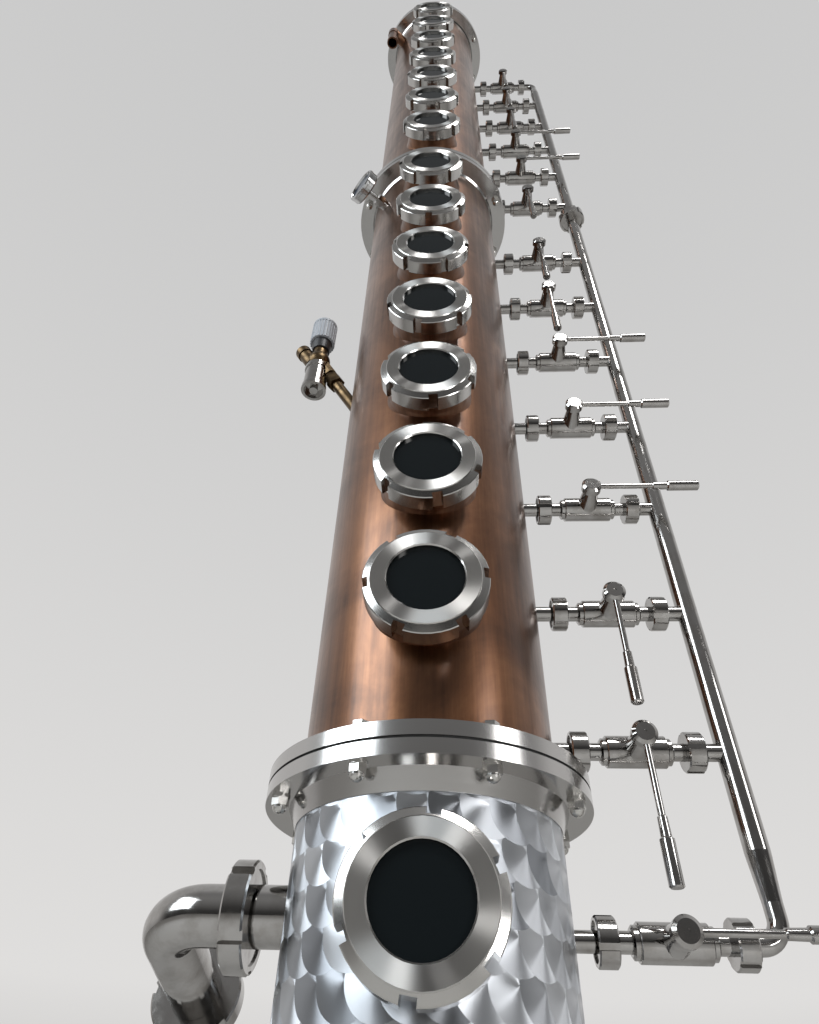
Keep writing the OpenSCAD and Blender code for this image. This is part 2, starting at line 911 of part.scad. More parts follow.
// Places a shape built along +Z from the elbow's far end, along the falling pipe
module past_elbow() {
    outlet_place()
        translate([-outlet_bend_r, outlet_bend_r, 0])
            rotate([-90, 0, 0])
                children();
}

module outlet_nuts() {
    color(steel) {
        translate([-outlet_x - outlet_union_w, 0, outlet_h])
            rotate([0, 90, 0])
                outlet_union(14);
        past_elbow()
            translate([0, 0, outlet_leg + 3])
                outlet_union(40);
    }
}

// Hollow bend from the first union to the second, with a flange at each end
module outlet_elbow() {
    flange_r = outlet_union_d / 2 - 11;
    pipe_r = outlet_d / 2;
    bend_bore = pipe_r - outlet_wall;
    color(steel) {
        outlet_place()
            rotate([0, 90, 0]) {
                ring(pipe_r, bend_bore, 0, outlet_run + 7);
                ring(flange_r, bend_bore, outlet_run + 7, outlet_run + 13);
            }
        outlet_place()
            translate([0, outlet_bend_r, 0])
                rotate([0, 0, 180])
                    rotate_extrude(angle = 90)
                        translate([outlet_bend_r, 0])
                            difference() {
                                circle(r = pipe_r);
                                circle(r = bend_bore);
                            }
        past_elbow() {
            ring(pipe_r, bend_bore, 0, outlet_leg + 10);
            ring(flange_r, bend_bore, outlet_leg + 10, outlet_leg + 16);
        }
    }
}

module thermo_place() {
    rotate([0, 0, -thermo_turn])
        translate([0, 0, mid_joint_h - thermo_drop])
            rotate([90, 0, 0])
                children();
}

module thermometer_stem() {
    color(steel)
        difference() {
            thermo_place() {
                translate([0, 0, shell_r - 4])
                    cylinder(d = 24, h = 16);
                translate([0, 0, shell_r + 12])
                    cylinder(d = 28, h = 16, $fn = 6);
                translate([0, 0, shell_r + 28])
                    cylinder(d = 12, h = thermo_stem_len - 28);
            }
            translate([0, 0, mid_joint_h - thermo_drop - 50])
                cylinder(r = shell_r, h = 100);
        }
}

// Round case with a rolled rim around its window
module thermometer_dial() {
    r = dial_d / 2;
    z0 = shell_r + thermo_stem_len;
    color(steel)
        thermo_place()
            rotate_extrude()
                polygon([[0, z0], [r - 4, z0], [r - 1, z0 + 3], [r - 1, z0 + 14], [r, z0 + 15], [r, z0 + 20],
                         [r - 2, z0 + 22], [r - 5, z0 + 22], [r - 6, z0 + 18], [0, z0 + 18]]);
}

// Places a shape built along +Z from the feed branch's foot, up the slope
module along_feed(from_foot) {
    translate([-shell_r, 0, feed_h])
        rotate([0, feed_slope - 90, 0])
            translate([0, 0, from_foot])
                children();
}

// Sloping branch from the shell with a boss and a compression nut
module feed_branch() {
    color(brass)
        difference() {
            along_feed(0) {
                translate([0, 0, -30])
                    cylinder(d = feed_d, h = feed_reach + 6);
                translate([0, 0, feed_reach - 90])
                    cylinder(d = feed_d + 12, h = 26, $fn = 6);
                translate([0, 0, feed_reach - 58])
                    cylinder(d = feed_d + 10, h = 34, $fn = 8);
            }
            translate([0, 0, feed_h - 100])
                cylinder(r = shell_r, h = 200);
            along_feed(feed_reach - 24)
                cylinder(r = 40, h = 60);
            translate([regulator_x, 0, regulator_h - 20 - probe_h - 20])
                cylinder(r = probe_d / 2 + 2 + run_gap, h = probe_h + 40);
        }
}

// Cast body with a round waist, two sloping ports and an upright neck
module regulator_body() {
    color(brass)
        difference() {
            union() {
                translate([regulator_x, 0, regulator_h])
                    sphere(r = 23);
                along_feed(feed_reach - 24)
                    cylinder(d = feed_d + 6, h = 24);
                translate([-16, 0, 0])
                    along_feed(feed_reach - 8)
                        cylinder(d = feed_d + 6, h = 38);
                translate([-16, 0, 0])
                    along_feed(feed_reach + 28)
                        cylinder(d = feed_d + 10, h = 14, $fn = 48);
                translate([regulator_x, 0, regulator_h])
                    cylinder(d = 30, h = 36);
            }
            translate([-16, 0, 0])
                along_feed(feed_reach + 14)
                    cylinder(d = feed_d - 4, h = 60);
            translate([regulator_x, 0, regulator_h + 36])
                cylinder(d = 44, h = 40);
            translate([0, 0, regulator_h - 60])
                translate([regulator_x - 40, -40, 0])
                    cube([80, 80, 60 - 20]);
        }
}

module regulator_bonnet() {
    z0 = regulator_h + 36;
    color(dark)
        difference() {
            translate([regulator_x, 0, z0]) {
                cylinder(d1 = 36, d2 = 42, h = 26);
                cylinder(d = 12, h = 52);
            }
        }
}

// Knurled knob; its skirt runs down around the bonnet's collar
module regulator_knob() {
    z0 = regulator_h + 62 + run_gap;
    color(satin)
        difference() {
            translate([regulator_x, 0, z0])
                cylinder(d = knob_d, h = knob_h);
            translate([regulator_x, 0, z0 - cut])
                cylinder(d = 12 + 2 * pin_gap, h = 30 + cut);
            for (i = [0 : 23])
                translate([regulator_x, 0, z0 - cut])
                    rotate([0, 0, i * 15])
                        translate([knob_d / 2 + 1.2, 0, 0])
                            cylinder(r = 2.6, h = knob_h - 6 + cut, $fn = 24);
        }
}

// Probe head screwed into the body from below, with its short plug
module probe_housing() {
    z1 = regulator_h - 20;
    color(steel)
        difference() {
            translate([regulator_x, 0, 0]) {
                translate([0, 0, z1 - probe_h])
                    cylinder(d = probe_d, h = probe_h);
                translate([0, 0, z1 - probe_h])
                    cylinder(d = probe_d + 4, h = 9);
                translate([0, 0, z1 - 14])
                    cylinder(d = probe_d + 4, h = 8);
            }
            translate([regulator_x, 0, z1 - probe_h - cut])
                difference() {
                    cylinder(d = probe_d - 7, h = 12 + cut);
                    cylinder(d = 16, h = 13 + cut);
                }
        }
}

foot_plates();
legs();
base_dish();
drain_ferrule();
drain_blind_nut();
base_shell();
base_flange_rings();
middle_flange_rings();
top_flange_rings();
joint_gaskets();
lower_shell();
upper_shell();
head_dome();
vapour_neck();
vapour_nut();
base_glass_collar();
copper_collars();
side_nozzle();
glass_nuts();
glass_panes();
valve_stubs();
valve_unions();
valve_bodies();
valve_bonnets();
riser_lower();
riser_upper();
riser_union_nut();
outlet_stub();
outlet_nuts();
outlet_elbow();
thermometer_stem();
thermometer_dial();
feed_branch();
regulator_body();
regulator_bonnet();
regulator_knob();
probe_housing();
lever_01();
lever_02();
lever_03();
lever_04();
lever_05();
lever_06();
lever_07();
lever_08();
lever_09();
lever_10();
lever_11();
lever_12();
lever_13();
lever_14();
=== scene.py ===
import bpy
import bmesh
import math
from mathutils import Matrix, Vector


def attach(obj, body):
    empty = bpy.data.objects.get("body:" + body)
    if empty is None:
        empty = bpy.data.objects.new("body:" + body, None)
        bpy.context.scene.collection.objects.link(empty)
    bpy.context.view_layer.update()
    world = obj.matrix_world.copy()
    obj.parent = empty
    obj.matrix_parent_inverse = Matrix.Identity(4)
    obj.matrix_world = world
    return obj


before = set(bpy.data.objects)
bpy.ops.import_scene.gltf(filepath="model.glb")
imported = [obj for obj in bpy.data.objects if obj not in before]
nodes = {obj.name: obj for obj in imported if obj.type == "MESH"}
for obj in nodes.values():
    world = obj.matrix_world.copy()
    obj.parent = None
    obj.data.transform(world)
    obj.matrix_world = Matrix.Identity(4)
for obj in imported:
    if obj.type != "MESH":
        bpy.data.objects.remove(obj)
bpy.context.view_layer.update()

# Legs and foot plates: stainless tube and round plate, welded together and brushed to a satin along the
# tubes. They are welded to the base vessel and bolted to the floor.
leg_steel = (0.45, 0.45, 0.44)
leg_grain_length, leg_grain_fineness = 0.06, 320.0
leg_smoothest, leg_roughest = 0.28, 0.46


def new_finish(name, metallic=0.0, colour=None, roughness=None):
    mat = bpy.data.materials.new(name)
    mat.use_nodes = True
    bsdf = mat.node_tree.nodes["Principled BSDF"]
    bsdf.inputs["Metallic"].default_value = metallic
    if colour is not None:
        bsdf.inputs["Base Color"].default_value = (*colour, 1.0)
    if roughness is not None:
        bsdf.inputs["Roughness"].default_value = roughness
    return mat, mat.node_tree, bsdf


def finish_pieces(mat, names):
    for name in names:
        nodes[name].data.materials.clear()
        nodes[name].data.materials.append(mat)


def feed(nt, socket, value):
    if isinstance(value, bpy.types.NodeSocket):
        nt.links.new(value, socket)
    else:
        socket.default_value = value


def place_on_piece(nt):
    return nt.nodes.new("ShaderNodeTexCoord").outputs["Object"]


def stretched(nt, place, scale):
    node = nt.nodes.new("ShaderNodeMapping")
    node.inputs["Scale"].default_value = scale
    nt.links.new(place, node.inputs["Vector"])
    return node.outputs[0]


def ranged(nt, value, from_min, from_max, to_min, to_max):
    node = nt.nodes.new("ShaderNodeMapRange")
    for name, part in (("Value", value), ("From Min", from_min), ("From Max", from_max),
                       ("To Min", to_min), ("To Max", to_max)):
        feed(nt, node.inputs[name], part)
    return node.outputs[0]


def new_effect(name, inputs, output):
    group = bpy.data.node_groups.new(name, "ShaderNodeTree")
    for label in inputs:
        kind = "NodeSocketVector" if label == "Place" else "NodeSocketFloat"
        group.interface.new_socket(label, in_out="INPUT", socket_type=kind)
    group.interface.new_socket(output, in_out="OUTPUT", socket_type="NodeSocketFloat")
    given = group.nodes.new("NodeGroupInput").outputs
    result = group.nodes.new("NodeGroupOutput").inputs[output]
    return group, given, result


def apply_effect(nt, group, **values):
    node = nt.nodes.new("ShaderNodeGroup")
    node.node_tree = group
    for label, value in values.items():
        feed(nt, node.inputs[label], value)
    return node.outputs[0]


# grain, smudges and patina are all one cloudy mask over the piece, from 0 to 1, at their own sizes
cloudy_wear, given, result = new_effect("cloudy_wear", ("Place", "Fineness", "Detail", "Raggedness", "From", "To"),
                                        "Mask")
cloud = cloudy_wear.nodes.new("ShaderNodeTexNoise")
for label, socket in (("Place", "Vector"), ("Fineness", "Scale"), ("Detail", "Detail"), ("Raggedness", "Roughness")):
    cloudy_wear.links.new(given[label], cloud.inputs[socket])
cloudy_wear.links.new(ranged(cloudy_wear, cloud.outputs["Fac"], given["From"], given["To"], 0.0, 1.0), result)

mat, nt, bsdf = new_finish("satin_stainless", metallic=1.0, colour=leg_steel)
grain = apply_effect(nt, cloudy_wear, Place=stretched(nt, place_on_piece(nt), (1.0, 1.0, leg_grain_length)),
                     Fineness=leg_grain_fineness, Detail=3.0, Raggedness=0.5, From=0.0, To=1.0)
feed(nt, bsdf.inputs["Roughness"], ranged(nt, grain, 0.0, 1.0, leg_smoothest, leg_roughest))
finish_pieces(mat, ("legs", "foot_plates"))

# Base vessel: rolled stainless sheet with a dished bottom, polished by hand with a turning disc in rows of
# overlapping rounds that lie a little hollow. Each round is tinted lighter or darker at random, as a painted sheen of
# its swirl marks. It is bolted to the column's lowest flange and stands on the legs.
shell_radius = 0.15
disc_radius, disc_step, row_step = 0.031, 0.031, 0.036
numbers_per_row = 57.0
disc_hollow, hollow_strength = 0.0014, 0.6
disc_painted_dim_sheen, disc_painted_bright_sheen = (0.28, 0.295, 0.32), (0.62, 0.64, 0.67)
disc_smoothest, disc_roughest, disc_grain = 0.28, 0.40, 0.93


def sums(nt, operation, *values, clamp=False):
    node = nt.nodes.new("ShaderNodeMath")
    node.operation = operation
    node.use_clamp = clamp
    for socket, value in zip(node.inputs, values):
        feed(nt, socket, value)
    return node.outputs[0]


def vectors(nt, operation, *values):
    node = nt.nodes.new("ShaderNodeVectorMath")
    node.operation = operation
    for socket, value in zip(node.inputs, values):
        feed(nt, socket, value)
    return node.outputs["Value" if operation in ("LENGTH", "DOT_PRODUCT") else "Vector"]


def scaled(nt, vector, scale):
    node = nt.nodes.new("ShaderNodeVectorMath")
    node.operation = "SCALE"
    nt.links.new(vector, node.inputs[0])
    nt.links.new(scale, node.inputs["Scale"])
    return node.outputs["Vector"]


def joined(nt, x=0.0, y=0.0, z=0.0):
    node = nt.nodes.new("ShaderNodeCombineXYZ")
    for socket, value in zip(node.inputs, (x, y, z)):
        feed(nt, socket, value)
    return node.outputs[0]


def parted(nt, vector):
    node = nt.nodes.new("ShaderNodeSeparateXYZ")
    nt.links.new(vector, node.inputs[0])
    return node.outputs["X"], node.outputs["Y"], node.outputs["Z"]


def round_the_column(nt):
    x, y, _ = parted(nt, place_on_piece(nt))
    return joined(nt, sums(nt, "MULTIPLY", y, -1.0), x)


def unrolled_sheet(nt):
    x, y, height = parted(nt, place_on_piece(nt))
    turn = sums(nt, "ARCTAN2", x, sums(nt, "MULTIPLY", y, -1.0))
    return sums(nt, "MULTIPLY", turn, shell_radius), height


def drawn_lot(nt, number):
    node = nt.nodes.new("ShaderNodeTexWhiteNoise")
    node.noise_dimensions = "1D"
    nt.links.new(number, node.inputs["W"])
    return node.outputs["Value"]


def blended(nt, factor, first, second):
    node = nt.nodes.new("ShaderNodeMix")
    for name, value in (("Factor", factor), ("A", first), ("B", second)):
        feed(nt, node.inputs[name], value)
    return node.outputs["Result"]


def tinted(nt, factor, first, second):
    node = nt.nodes.new("ShaderNodeMix")
    node.data_type = "RGBA"
    nt.links.new(factor, node.inputs["Factor"])
    node.inputs["A"].default_value = (*first, 1.0)
    node.inputs["B"].default_value = (*second, 1.0)
    return node.outputs["Result"]


def raised(nt, bsdf, height, strength, distance):
    node = nt.nodes.new("ShaderNodeBump")
    node.inputs["Strength"].default_value = strength
    node.inputs["Distance"].default_value = distance
    nt.links.new(height, node.inputs["Height"])
    nt.links.new(node.outputs["Normal"], bsdf.inputs["Normal"])


def disc_in_row(nt, around, height, row):
    up = sums(nt, "SUBTRACT", height, sums(nt, "MULTIPLY", row, row_step))
    room = sums(nt, "SUBTRACT", disc_radius * disc_radius, sums(nt, "MULTIPLY", up, up), clamp=True)
    half_width = sums(nt, "SQRT", room)
    along = sums(nt, "MULTIPLY_ADD", drawn_lot(nt, row), disc_step, around)
    number = sums(nt, "FLOOR", sums(nt, "DIVIDE", sums(nt, "ADD", along, half_width), disc_step))
    across = sums(nt, "SUBTRACT", along, sums(nt, "MULTIPLY", number, disc_step))
    order = sums(nt, "MULTIPLY_ADD", row, numbers_per_row, number)
    return (across, up, order), sums(nt, "LESS_THAN", across, half_width)


mat, nt, bsdf = new_finish("swirled_stainless", metallic=1.0)
around, height = unrolled_sheet(nt)
row_reached = sums(nt, "DIVIDE", sums(nt, "ADD", height, disc_radius), row_step)
top_row = sums(nt, "FLOOR", row_reached)
upper_disc, upper_covers = disc_in_row(nt, around, height, top_row)
lower_disc, _ = disc_in_row(nt, around, height, sums(nt, "SUBTRACT", top_row, 1.0))
across, up, order = (blended(nt, upper_covers, low, high) for low, high in zip(lower_disc, upper_disc))
lot = drawn_lot(nt, order)
# painted sheen: each disc's base colour is lighter or darker at random, standing in for the reflection of its swirl
# marks
feed(nt, bsdf.inputs["Base Color"], tinted(nt, lot, disc_painted_dim_sheen, disc_painted_bright_sheen))
feed(nt, bsdf.inputs["Roughness"], ranged(nt, lot, 0.0, 1.0, disc_smoothest, disc_roughest))
sideways = scaled(nt, vectors(nt, "NORMALIZE", round_the_column(nt)), sums(nt, "MULTIPLY", up, -1.0))
disc_marks = vectors(nt, "ADD", sideways, joined(nt, z=across))
feed(nt, bsdf.inputs["Tangent"], vectors(nt, "NORMALIZE", disc_marks))
bsdf.inputs["Anisotropic"].default_value = disc_grain
from_centre = sums(nt, "ADD", sums(nt, "MULTIPLY", across, across), sums(nt, "MULTIPLY", up, up))
raised(nt, bsdf, sums(nt, "DIVIDE", from_centre, disc_radius * disc_radius), hollow_strength, disc_hollow)
finish_pieces(mat, ("base_shell", "base_dish"))

# Flange rings, and the union nuts on the column's own axis: stainless, turned on a lathe and bright on the
# rims. The rings are welded to the shells and clamp the gaskets, the nuts are screwed on.
ring_steel, ring_grain = (0.50, 0.49, 0.48), 0.5
ring_groove_fineness, ring_smoothest, ring_roughest = 900.0, 0.10, 0.20

# a lathe's fine grooves change the roughness with the distance from the piece's axis
lathe_grooves, given, result = new_effect("lathe_grooves", ("Distance", "Fineness", "Detail", "Smoothest", "Roughest"),
                                          "Roughness")
groove = lathe_grooves.nodes.new("ShaderNodeTexNoise")
groove.noise_dimensions = "1D"
for label, socket in (("Distance", "W"), ("Fineness", "Scale"), ("Detail", "Detail")):
    lathe_grooves.links.new(given[label], groove.inputs[socket])
lathe_grooves.links.new(ranged(lathe_grooves, groove.outputs["Fac"], 0.0, 1.0, given["Smoothest"], given["Roughest"]),
                        result)

mat, nt, bsdf = new_finish("turned_rings", metallic=1.0, colour=ring_steel)
marks = round_the_column(nt)
feed(nt, bsdf.inputs["Tangent"], vectors(nt, "NORMALIZE", marks))
bsdf.inputs["Anisotropic"].default_value = ring_grain
grooves = apply_effect(nt, lathe_grooves, Distance=vectors(nt, "LENGTH", marks), Fineness=ring_groove_fineness,
                       Detail=2.0, Smoothest=ring_smoothest, Roughest=ring_roughest)
feed(nt, bsdf.inputs["Roughness"], grooves)
finish_pieces(mat, ("base_flange_rings", "middle_flange_rings", "top_flange_rings", "vapour_nut", "drain_blind_nut"))

# Gaskets between the flange rings: flat rings cut from matt black rubber sheet. The bolts clamp them, and
# only their edge shows.
mat, nt, bsdf = new_finish("gasket_rubber", colour=(0.018, 0.018, 0.018), roughness=0.75)
finish_pieces(mat, ("joint_gaskets",))

# Flange bolts: eight of size M10 at each joint, made of stainless. A hexagon head and a washer lie above the
# rings, a washer and a nut with a domed cap below, and each bolt is tightened to its own angle.
joint_heights, bolts_per_joint, bolt_circle, first_bolt = (1.596, 3.076, 4.556), 8, 0.173, 22.5
shank_radius, shank_length = 0.0050, 0.036
washer_radius, washer_thickness, washer_lift = 0.0100, 0.002, 0.0185
head_radius, head_thickness, head_lift = 0.0098, 0.0054, 0.0222
chamfer_radius, chamfer_thickness, chamfer_lift = 0.0084, 0.0010, 0.0254
nut_thickness, nut_drop = 0.0080, 0.0235
dome_radius, dome_drop = 0.0080, 0.0275
round_sides, washer_sides, hexagon = 24, 32, 6
angle_step, angle_start = 13.0, 7.0


def add_turned(bm, at, lift, radius, height, sides, top_radius=None, turned=Matrix.Identity(4)):
    bmesh.ops.create_cone(bm, cap_ends=True, segments=sides, radius1=radius, radius2=top_radius or radius,
                          depth=height, matrix=Matrix.Translation(at + Vector((0, 0, lift))) @ turned)


bm = bmesh.new()
for joint_height in joint_heights:
    for number in range(bolts_per_joint):
        around_joint = math.radians(first_bolt + 360.0 / bolts_per_joint * number)
        at = Vector((bolt_circle * math.cos(around_joint), bolt_circle * math.sin(around_joint), joint_height))
        add_turned(bm, at, 0.0, shank_radius, shank_length, round_sides)
        add_turned(bm, at, washer_lift, washer_radius, washer_thickness, washer_sides)
        add_turned(bm, at, -washer_lift, washer_radius, washer_thickness, washer_sides)
        tightened = Matrix.Rotation(math.radians(angle_step * number + angle_start), 4, "Z")
        add_turned(bm, at, head_lift, head_radius, head_thickness, hexagon, turned=tightened)
        add_turned(bm, at, chamfer_lift, head_radius, chamfer_thickness, hexagon, chamfer_radius, tightened)
        add_turned(bm, at, -nut_drop, head_radius, nut_thickness, hexagon, turned=tightened)
        bmesh.ops.create_uvsphere(bm, u_segments=round_sides, v_segments=round_sides // 2, radius=dome_radius,
                                  matrix=Matrix.Translation(at - Vector((0, 0, dome_drop))))
mesh = bpy.data.meshes.new("flange_bolts")
bm.to_mesh(mesh)
bm.free()
bolts = bpy.data.objects.new("flange_bolts", mesh)
bpy.context.scene.collection.objects.link(bolts)
mat, nt, bsdf = new_finish("bolt_stainless", metallic=1.0, colour=(0.55, 0.54, 0.52), roughness=0.22)
mesh.materials.append(mat)
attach(bolts, "root")

# Copper shell sections, head, neck, side nozzle and drawn glass collars: rolled and brazed sheet, tarnished
# to a satin brown, with soft streaks that run down it. The flange rings hold the sections together.
copper_dark, copper_mid, copper_light = (0.062, 0.025, 0.011), (0.130, 0.054, 0.023), (0.220, 0.097, 0.043)
streak_length, streak_fineness, blotch_fineness, blotch_share = 0.05, 90.0, 7.0, 0.62
dark_mark, mid_mark, light_mark = 0.36, 0.5, 0.64
dull_mark, bright_mark, dull_tarnish, bright_tarnish = 0.3, 0.7, 0.44, 0.28
lacquer, lacquer_roughness, lacquer_density = 0.5, 0.24, 1.6
streak_strength, streak_depth = 0.10, 0.002


def cloud_over(nt, place, scale, detail, roughness, distortion=0.0):
    node = nt.nodes.new("ShaderNodeTexNoise")
    for name, value in (("Vector", place), ("Scale", scale), ("Detail", detail), ("Roughness", roughness),
                        ("Distortion", distortion)):
        feed(nt, node.inputs[name], value)
    return node.outputs["Fac"]


def toned(nt, value, *stops):
    node = nt.nodes.new("ShaderNodeValToRGB")
    marks = node.color_ramp.elements
    for mark, (place, colour) in zip((marks[0], marks[1]), (stops[0], stops[-1])):
        mark.position = place
        mark.color = (*colour, 1.0)
    for place, colour in stops[1:-1]:
        marks.new(place).color = (*colour, 1.0)
    nt.links.new(value, node.inputs["Fac"])
    return node.outputs["Color"]


mat, nt, bsdf = new_finish("copper_sheet", metallic=1.0)
sheet = joined(nt, *unrolled_sheet(nt))
streaks = cloud_over(nt, stretched(nt, sheet, (1.0, streak_length, 1.0)), streak_fineness, detail=6.0,
                     roughness=0.65)
blotches = cloud_over(nt, sheet, blotch_fineness, detail=5.0, roughness=0.6, distortion=0.6)
tarnish = blended(nt, blotch_share, streaks, blotches)
feed(nt, bsdf.inputs["Base Color"],
     toned(nt, tarnish, (dark_mark, copper_dark), (mid_mark, copper_mid), (light_mark, copper_light)))
feed(nt, bsdf.inputs["Roughness"], ranged(nt, tarnish, dull_mark, bright_mark, dull_tarnish, bright_tarnish))
bsdf.inputs["Coat Weight"].default_value = lacquer
bsdf.inputs["Coat Roughness"].default_value = lacquer_roughness
bsdf.inputs["Coat IOR"].default_value = lacquer_density
raised(nt, bsdf, streaks, streak_strength, streak_depth)
finish_pieces(mat, ("lower_shell", "upper_shell", "head_dome", "vapour_neck", "copper_collars", "side_nozzle"))

# Sight glass nuts: round stainless unions with spanner slots, their faces turned so that the light stands on
# them in wedges. Each is screwed over its collar and holds a pane.
base_glass_height, base_joint_height, middle_joint_height = 1.453, 1.6, 3.1
lower_row_start, upper_row_start, glass_pitch = 1.680, 3.151, 0.2
nut_steel = (0.47, 0.46, 0.445)
rim_facing, face_facing, rim_grain, face_grain = -0.96, -0.99, 0.45, 1.0
nut_groove_fineness, nut_smoothest, nut_roughest = 1400.0, 0.28, 0.42


def above_glass_in_row(nt, height, row_start):
    in_pitch = sums(nt, "FLOORED_MODULO", sums(nt, "SUBTRACT", height, row_start), glass_pitch)
    return sums(nt, "SUBTRACT", in_pitch, glass_pitch / 2)


mat, nt, bsdf = new_finish("turned_nuts", metallic=1.0, colour=nut_steel)
x, _, height = parted(nt, place_on_piece(nt))
in_column = blended(nt, sums(nt, "GREATER_THAN", height, middle_joint_height),
                    above_glass_in_row(nt, height, lower_row_start), above_glass_in_row(nt, height, upper_row_start))
above_glass = blended(nt, sums(nt, "LESS_THAN", height, base_joint_height), in_column,
                      sums(nt, "SUBTRACT", height, base_glass_height))
marks = joined(nt, above_glass, 0.0, sums(nt, "MULTIPLY", x, -1.0))
feed(nt, bsdf.inputs["Tangent"], vectors(nt, "NORMALIZE", marks))
# the flat face shows its turning far more than the rim and the bevel do
facing = parted(nt, nt.nodes.new("ShaderNodeNewGeometry").outputs["Normal"])[1]
on_face = ranged(nt, facing, rim_facing, face_facing, rim_grain, face_grain)
feed(nt, bsdf.inputs["Anisotropic"], on_face)
grooves = apply_effect(nt, lathe_grooves, Distance=vectors(nt, "LENGTH", marks), Fineness=nut_groove_fineness,
                       Detail=3.0, Smoothest=nut_smoothest, Roughest=nut_roughest)
feed(nt, bsdf.inputs["Roughness"], sums(nt, "MULTIPLY", on_face, grooves))
finish_pieces(mat, ("glass_nuts",))

# Sight glass panes: thick flat glass discs, coloured near black as a painted shade of the dark inside of the column
# behind them. The lips of the nuts press them against the collars.
pane_specular = 0.15
# the pane's near-black colour is painted shade of the column's inside, seen through the glass
mat, nt, bsdf = new_finish("pane_painted_inside_shade", colour=(0.006, 0.008, 0.009), roughness=0.04)
bsdf.inputs["Specular IOR Level"].default_value = pane_specular
finish_pieces(mat, ("glass_panes",))

# Side outlet, valves, riser, hand levers and small fittings: stainless polished to a mirror, with faint
# smudges. Unions join them to the stubs and to the riser, and each lever turns on its valve's stem.
clean_mirror, smudged_mirror = (0.43, 0.42, 0.41), (0.31, 0.295, 0.28)
mirror_smoothest, mirror_roughest = 0.08, 0.20
mat, nt, bsdf = new_finish("mirror_stainless", metallic=1.0)
smudges = apply_effect(nt, cloudy_wear, Place=place_on_piece(nt), Fineness=38.0, Detail=4.0, Raggedness=0.6,
                       From=0.42, To=0.70)
feed(nt, bsdf.inputs["Roughness"], ranged(nt, smudges, 0.0, 1.0, mirror_smoothest, mirror_roughest))
feed(nt, bsdf.inputs["Base Color"], tinted(nt, smudges, clean_mirror, smudged_mirror))
finish_pieces(mat, ("base_glass_collar", "drain_ferrule", "outlet_stub", "outlet_nuts", "outlet_elbow",
                    "valve_stubs", "valve_unions", "valve_bodies", "valve_bonnets", "riser_lower", "riser_upper",
                    "riser_union_nut", "thermometer_stem", "probe_housing"))
finish_pieces(mat, [f"lever_{number:02d}" for number in range(1, 15)])

# Feed branch and regulator body: cast brass gone dull, with a patina in patches. The branch is brazed into
# the shell and the body is screwed onto it.
brass_dark, brass_light = (0.070, 0.046, 0.024), (0.170, 0.115, 0.060)
mat, nt, bsdf = new_finish("dull_brass", metallic=1.0, roughness=0.38)
patina = apply_effect(nt, cloudy_wear, Place=place_on_piece(nt), Fineness=70.0, Detail=5.0, Raggedness=0.5,
                      From=0.38, To=0.66)
feed(nt, bsdf.inputs["Base Color"], tinted(nt, patina, brass_dark, brass_light))
finish_pieces(mat, ("feed_branch", "regulator_body"))

# Regulator bonnet and hand knob: moulded plastic, black below and ribbed grey above. The bonnet is screwed
# to the brass body, and the knob turns on the bonnet's stem.
mat, nt, bsdf = new_finish("black_plastic", colour=(0.022, 0.022, 0.024), roughness=0.42)
finish_pieces(mat, ("regulator_bonnet",))
mat, nt, bsdf = new_finish("grey_plastic", colour=(0.33, 0.35, 0.38), roughness=0.46)
finish_pieces(mat, ("regulator_knob",))

# Thermometer: steel case with a rolled rim and a dark glass window in front. It is screwed onto its stem, at
# the left of the column just below the middle joint.
dial_height, dial_turn = 2.963, math.radians(47.0)
window_radius, window_depth = 0.0338, 0.2240
case_steel, window_glass = (0.52, 0.52, 0.52), (0.028, 0.040, 0.060)
dial_axis = (-math.sin(dial_turn), -math.cos(dial_turn), 0.0)
mat, nt, bsdf = new_finish("dial_case", roughness=0.14)
from_column = vectors(nt, "SUBTRACT", place_on_piece(nt), (0.0, 0.0, dial_height))
in_front = sums(nt, "GREATER_THAN", vectors(nt, "DOT_PRODUCT", from_column, dial_axis), window_depth)
off_axis = vectors(nt, "LENGTH", vectors(nt, "CROSS_PRODUCT", from_column, dial_axis))
window = sums(nt, "MULTIPLY", sums(nt, "LESS_THAN", off_axis, window_radius), in_front)
feed(nt, bsdf.inputs["Base Color"], tinted(nt, window, case_steel, window_glass))
feed(nt, bsdf.inputs["Metallic"], sums(nt, "SUBTRACT", 1.0, window))
finish_pieces(mat, ("thermometer_dial",))

# Floor: a plain pale matt ground for the picture, a little under the foot plates. It is no piece of the
# object.
floor_half, floor_height = 12.0, -0.001
bm = bmesh.new()
bmesh.ops.create_grid(bm, x_segments=1, y_segments=1, size=floor_half,
                      matrix=Matrix.Translation((0, 0, floor_height)))
floor_mesh = bpy.data.meshes.new("floor")
bm.to_mesh(floor_mesh)
bm.free()
floor = bpy.data.objects.new("floor", floor_mesh)
bpy.context.scene.collection.objects.link(floor)
mat, nt, bsdf = new_finish("pale_floor", colour=(0.55, 0.54, 0.52), roughness=0.9)
floor_mesh.materials.append(mat)

# Lamps: four soft squares, each facing the middle of the column. The big one at the left is a little cool,
# like daylight, and the others are white.
lamp_aim = Vector((0.0, 0.0, 2.4))
daylight, white = (0.88, 0.95, 1.0), (1.0, 1.0, 1.0)
for name, place, size, power, colour in (("left_light", (-3.4, -2.4, 3.8), 2.8, 180.0, daylight),
                                         ("right_light", (3.2, -2.2, 3.0), 1.0, 22.0, white),
                                         ("high_light", (1.9, -3.4, 7.4), 1.6, 170.0, white),
                                         ("low_light", (2.1, -2.5, 1.15), 0.8, 30.0, white)):
    data = bpy.data.lights.new(name, "AREA")
    data.shape = "SQUARE"
    data.size = size
    data.energy = power
    data.color = colour
    lamp = bpy.data.objects.new(name, data)
    lamp.location = place
    lamp.rotation_euler = (lamp_aim - Vector(place)).to_track_quat("-Z", "Y").to_euler()
    bpy.context.scene.collection.objects.link(lamp)

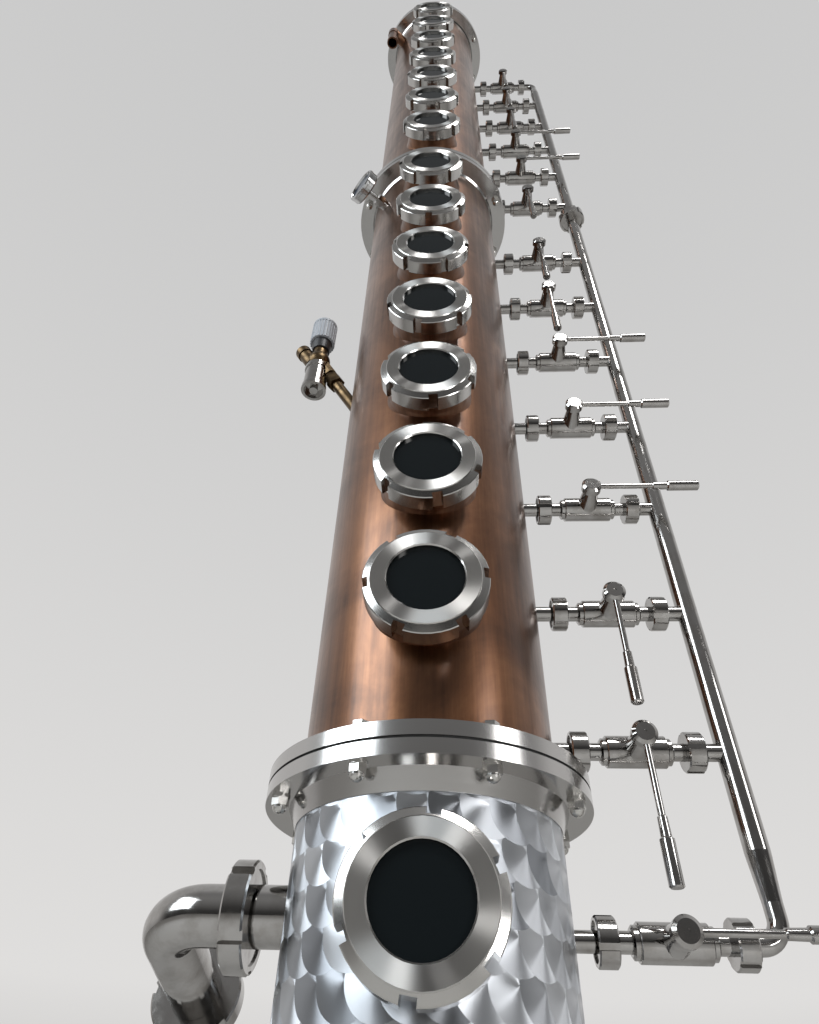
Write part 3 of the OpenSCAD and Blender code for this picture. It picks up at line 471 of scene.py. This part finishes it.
# Room: pale walls all round, darker below. In front of the column it is dimmer than behind it, most of all
# low down.
floor_tone, wall_tone, ceiling_tone = (0.12, 0.115, 0.11), (0.74, 0.73, 0.72), (0.58, 0.58, 0.58)
floor_mark, wall_mark, ceiling_mark = 0.30, 0.56, 1.0
front_end, back_start = -0.35, 0.12
low_height, high_height, low_front, high_front = 0.1, 0.75, 0.10, 0.48
world = bpy.data.worlds.new("pale_room")
bpy.context.scene.world = world
world.use_nodes = True
nt = world.node_tree
_, back, height = parted(nt, nt.nodes.new("ShaderNodeTexCoord").outputs["Generated"])
# the height runs from -1 to 1, the tones from 0 to 1
walls = toned(nt, sums(nt, "MULTIPLY_ADD", height, 0.5, 0.5), (floor_mark, floor_tone), (wall_mark, wall_tone),
              (ceiling_mark, ceiling_tone))
light_level = nt.nodes.new("ShaderNodeMapRange")
light_level.interpolation_type = "SMOOTHSTEP"
for name, value in (("Value", back), ("From Min", front_end), ("From Max", back_start),
                    ("To Min", ranged(nt, height, low_height, high_height, low_front, high_front)),
                    ("To Max", 1.0)):
    feed(nt, light_level.inputs[name], value)
feed(nt, nt.nodes["Background"].inputs["Color"], scaled(nt, walls, light_level.outputs[0]))

# Camera: close in front of the base vessel, with a wide lens, looking steeply up the column and turned a
# little about its own axis.
camera_place = Vector((0.02054, -0.82310, 1.31126))
lens_pitch, lens_roll, lens_yaw = 0.7362529, 0.0352514, -0.0667124
ahead = Vector((math.sin(lens_yaw) * math.cos(lens_pitch), math.cos(lens_yaw) * math.cos(lens_pitch),
                math.sin(lens_pitch)))
level_right = Vector((math.cos(lens_yaw), -math.sin(lens_yaw), 0.0))
level_up = level_right.cross(ahead)
right = math.cos(lens_roll) * level_right + math.sin(lens_roll) * level_up
up = math.cos(lens_roll) * level_up - math.sin(lens_roll) * level_right
lens = bpy.data.cameras.new("camera")
lens.sensor_fit = "VERTICAL"
lens.sensor_height = 36.0
lens.lens = 24.0
lens.clip_start = 0.02
camera = bpy.data.objects.new("camera", lens)
camera.matrix_world = Matrix.Translation(camera_place) @ Matrix((right, up, -ahead)).transposed().to_4x4()
bpy.context.scene.collection.objects.link(camera)
bpy.context.scene.camera = camera
bpy.context.scene.view_settings.view_transform = "Standard"
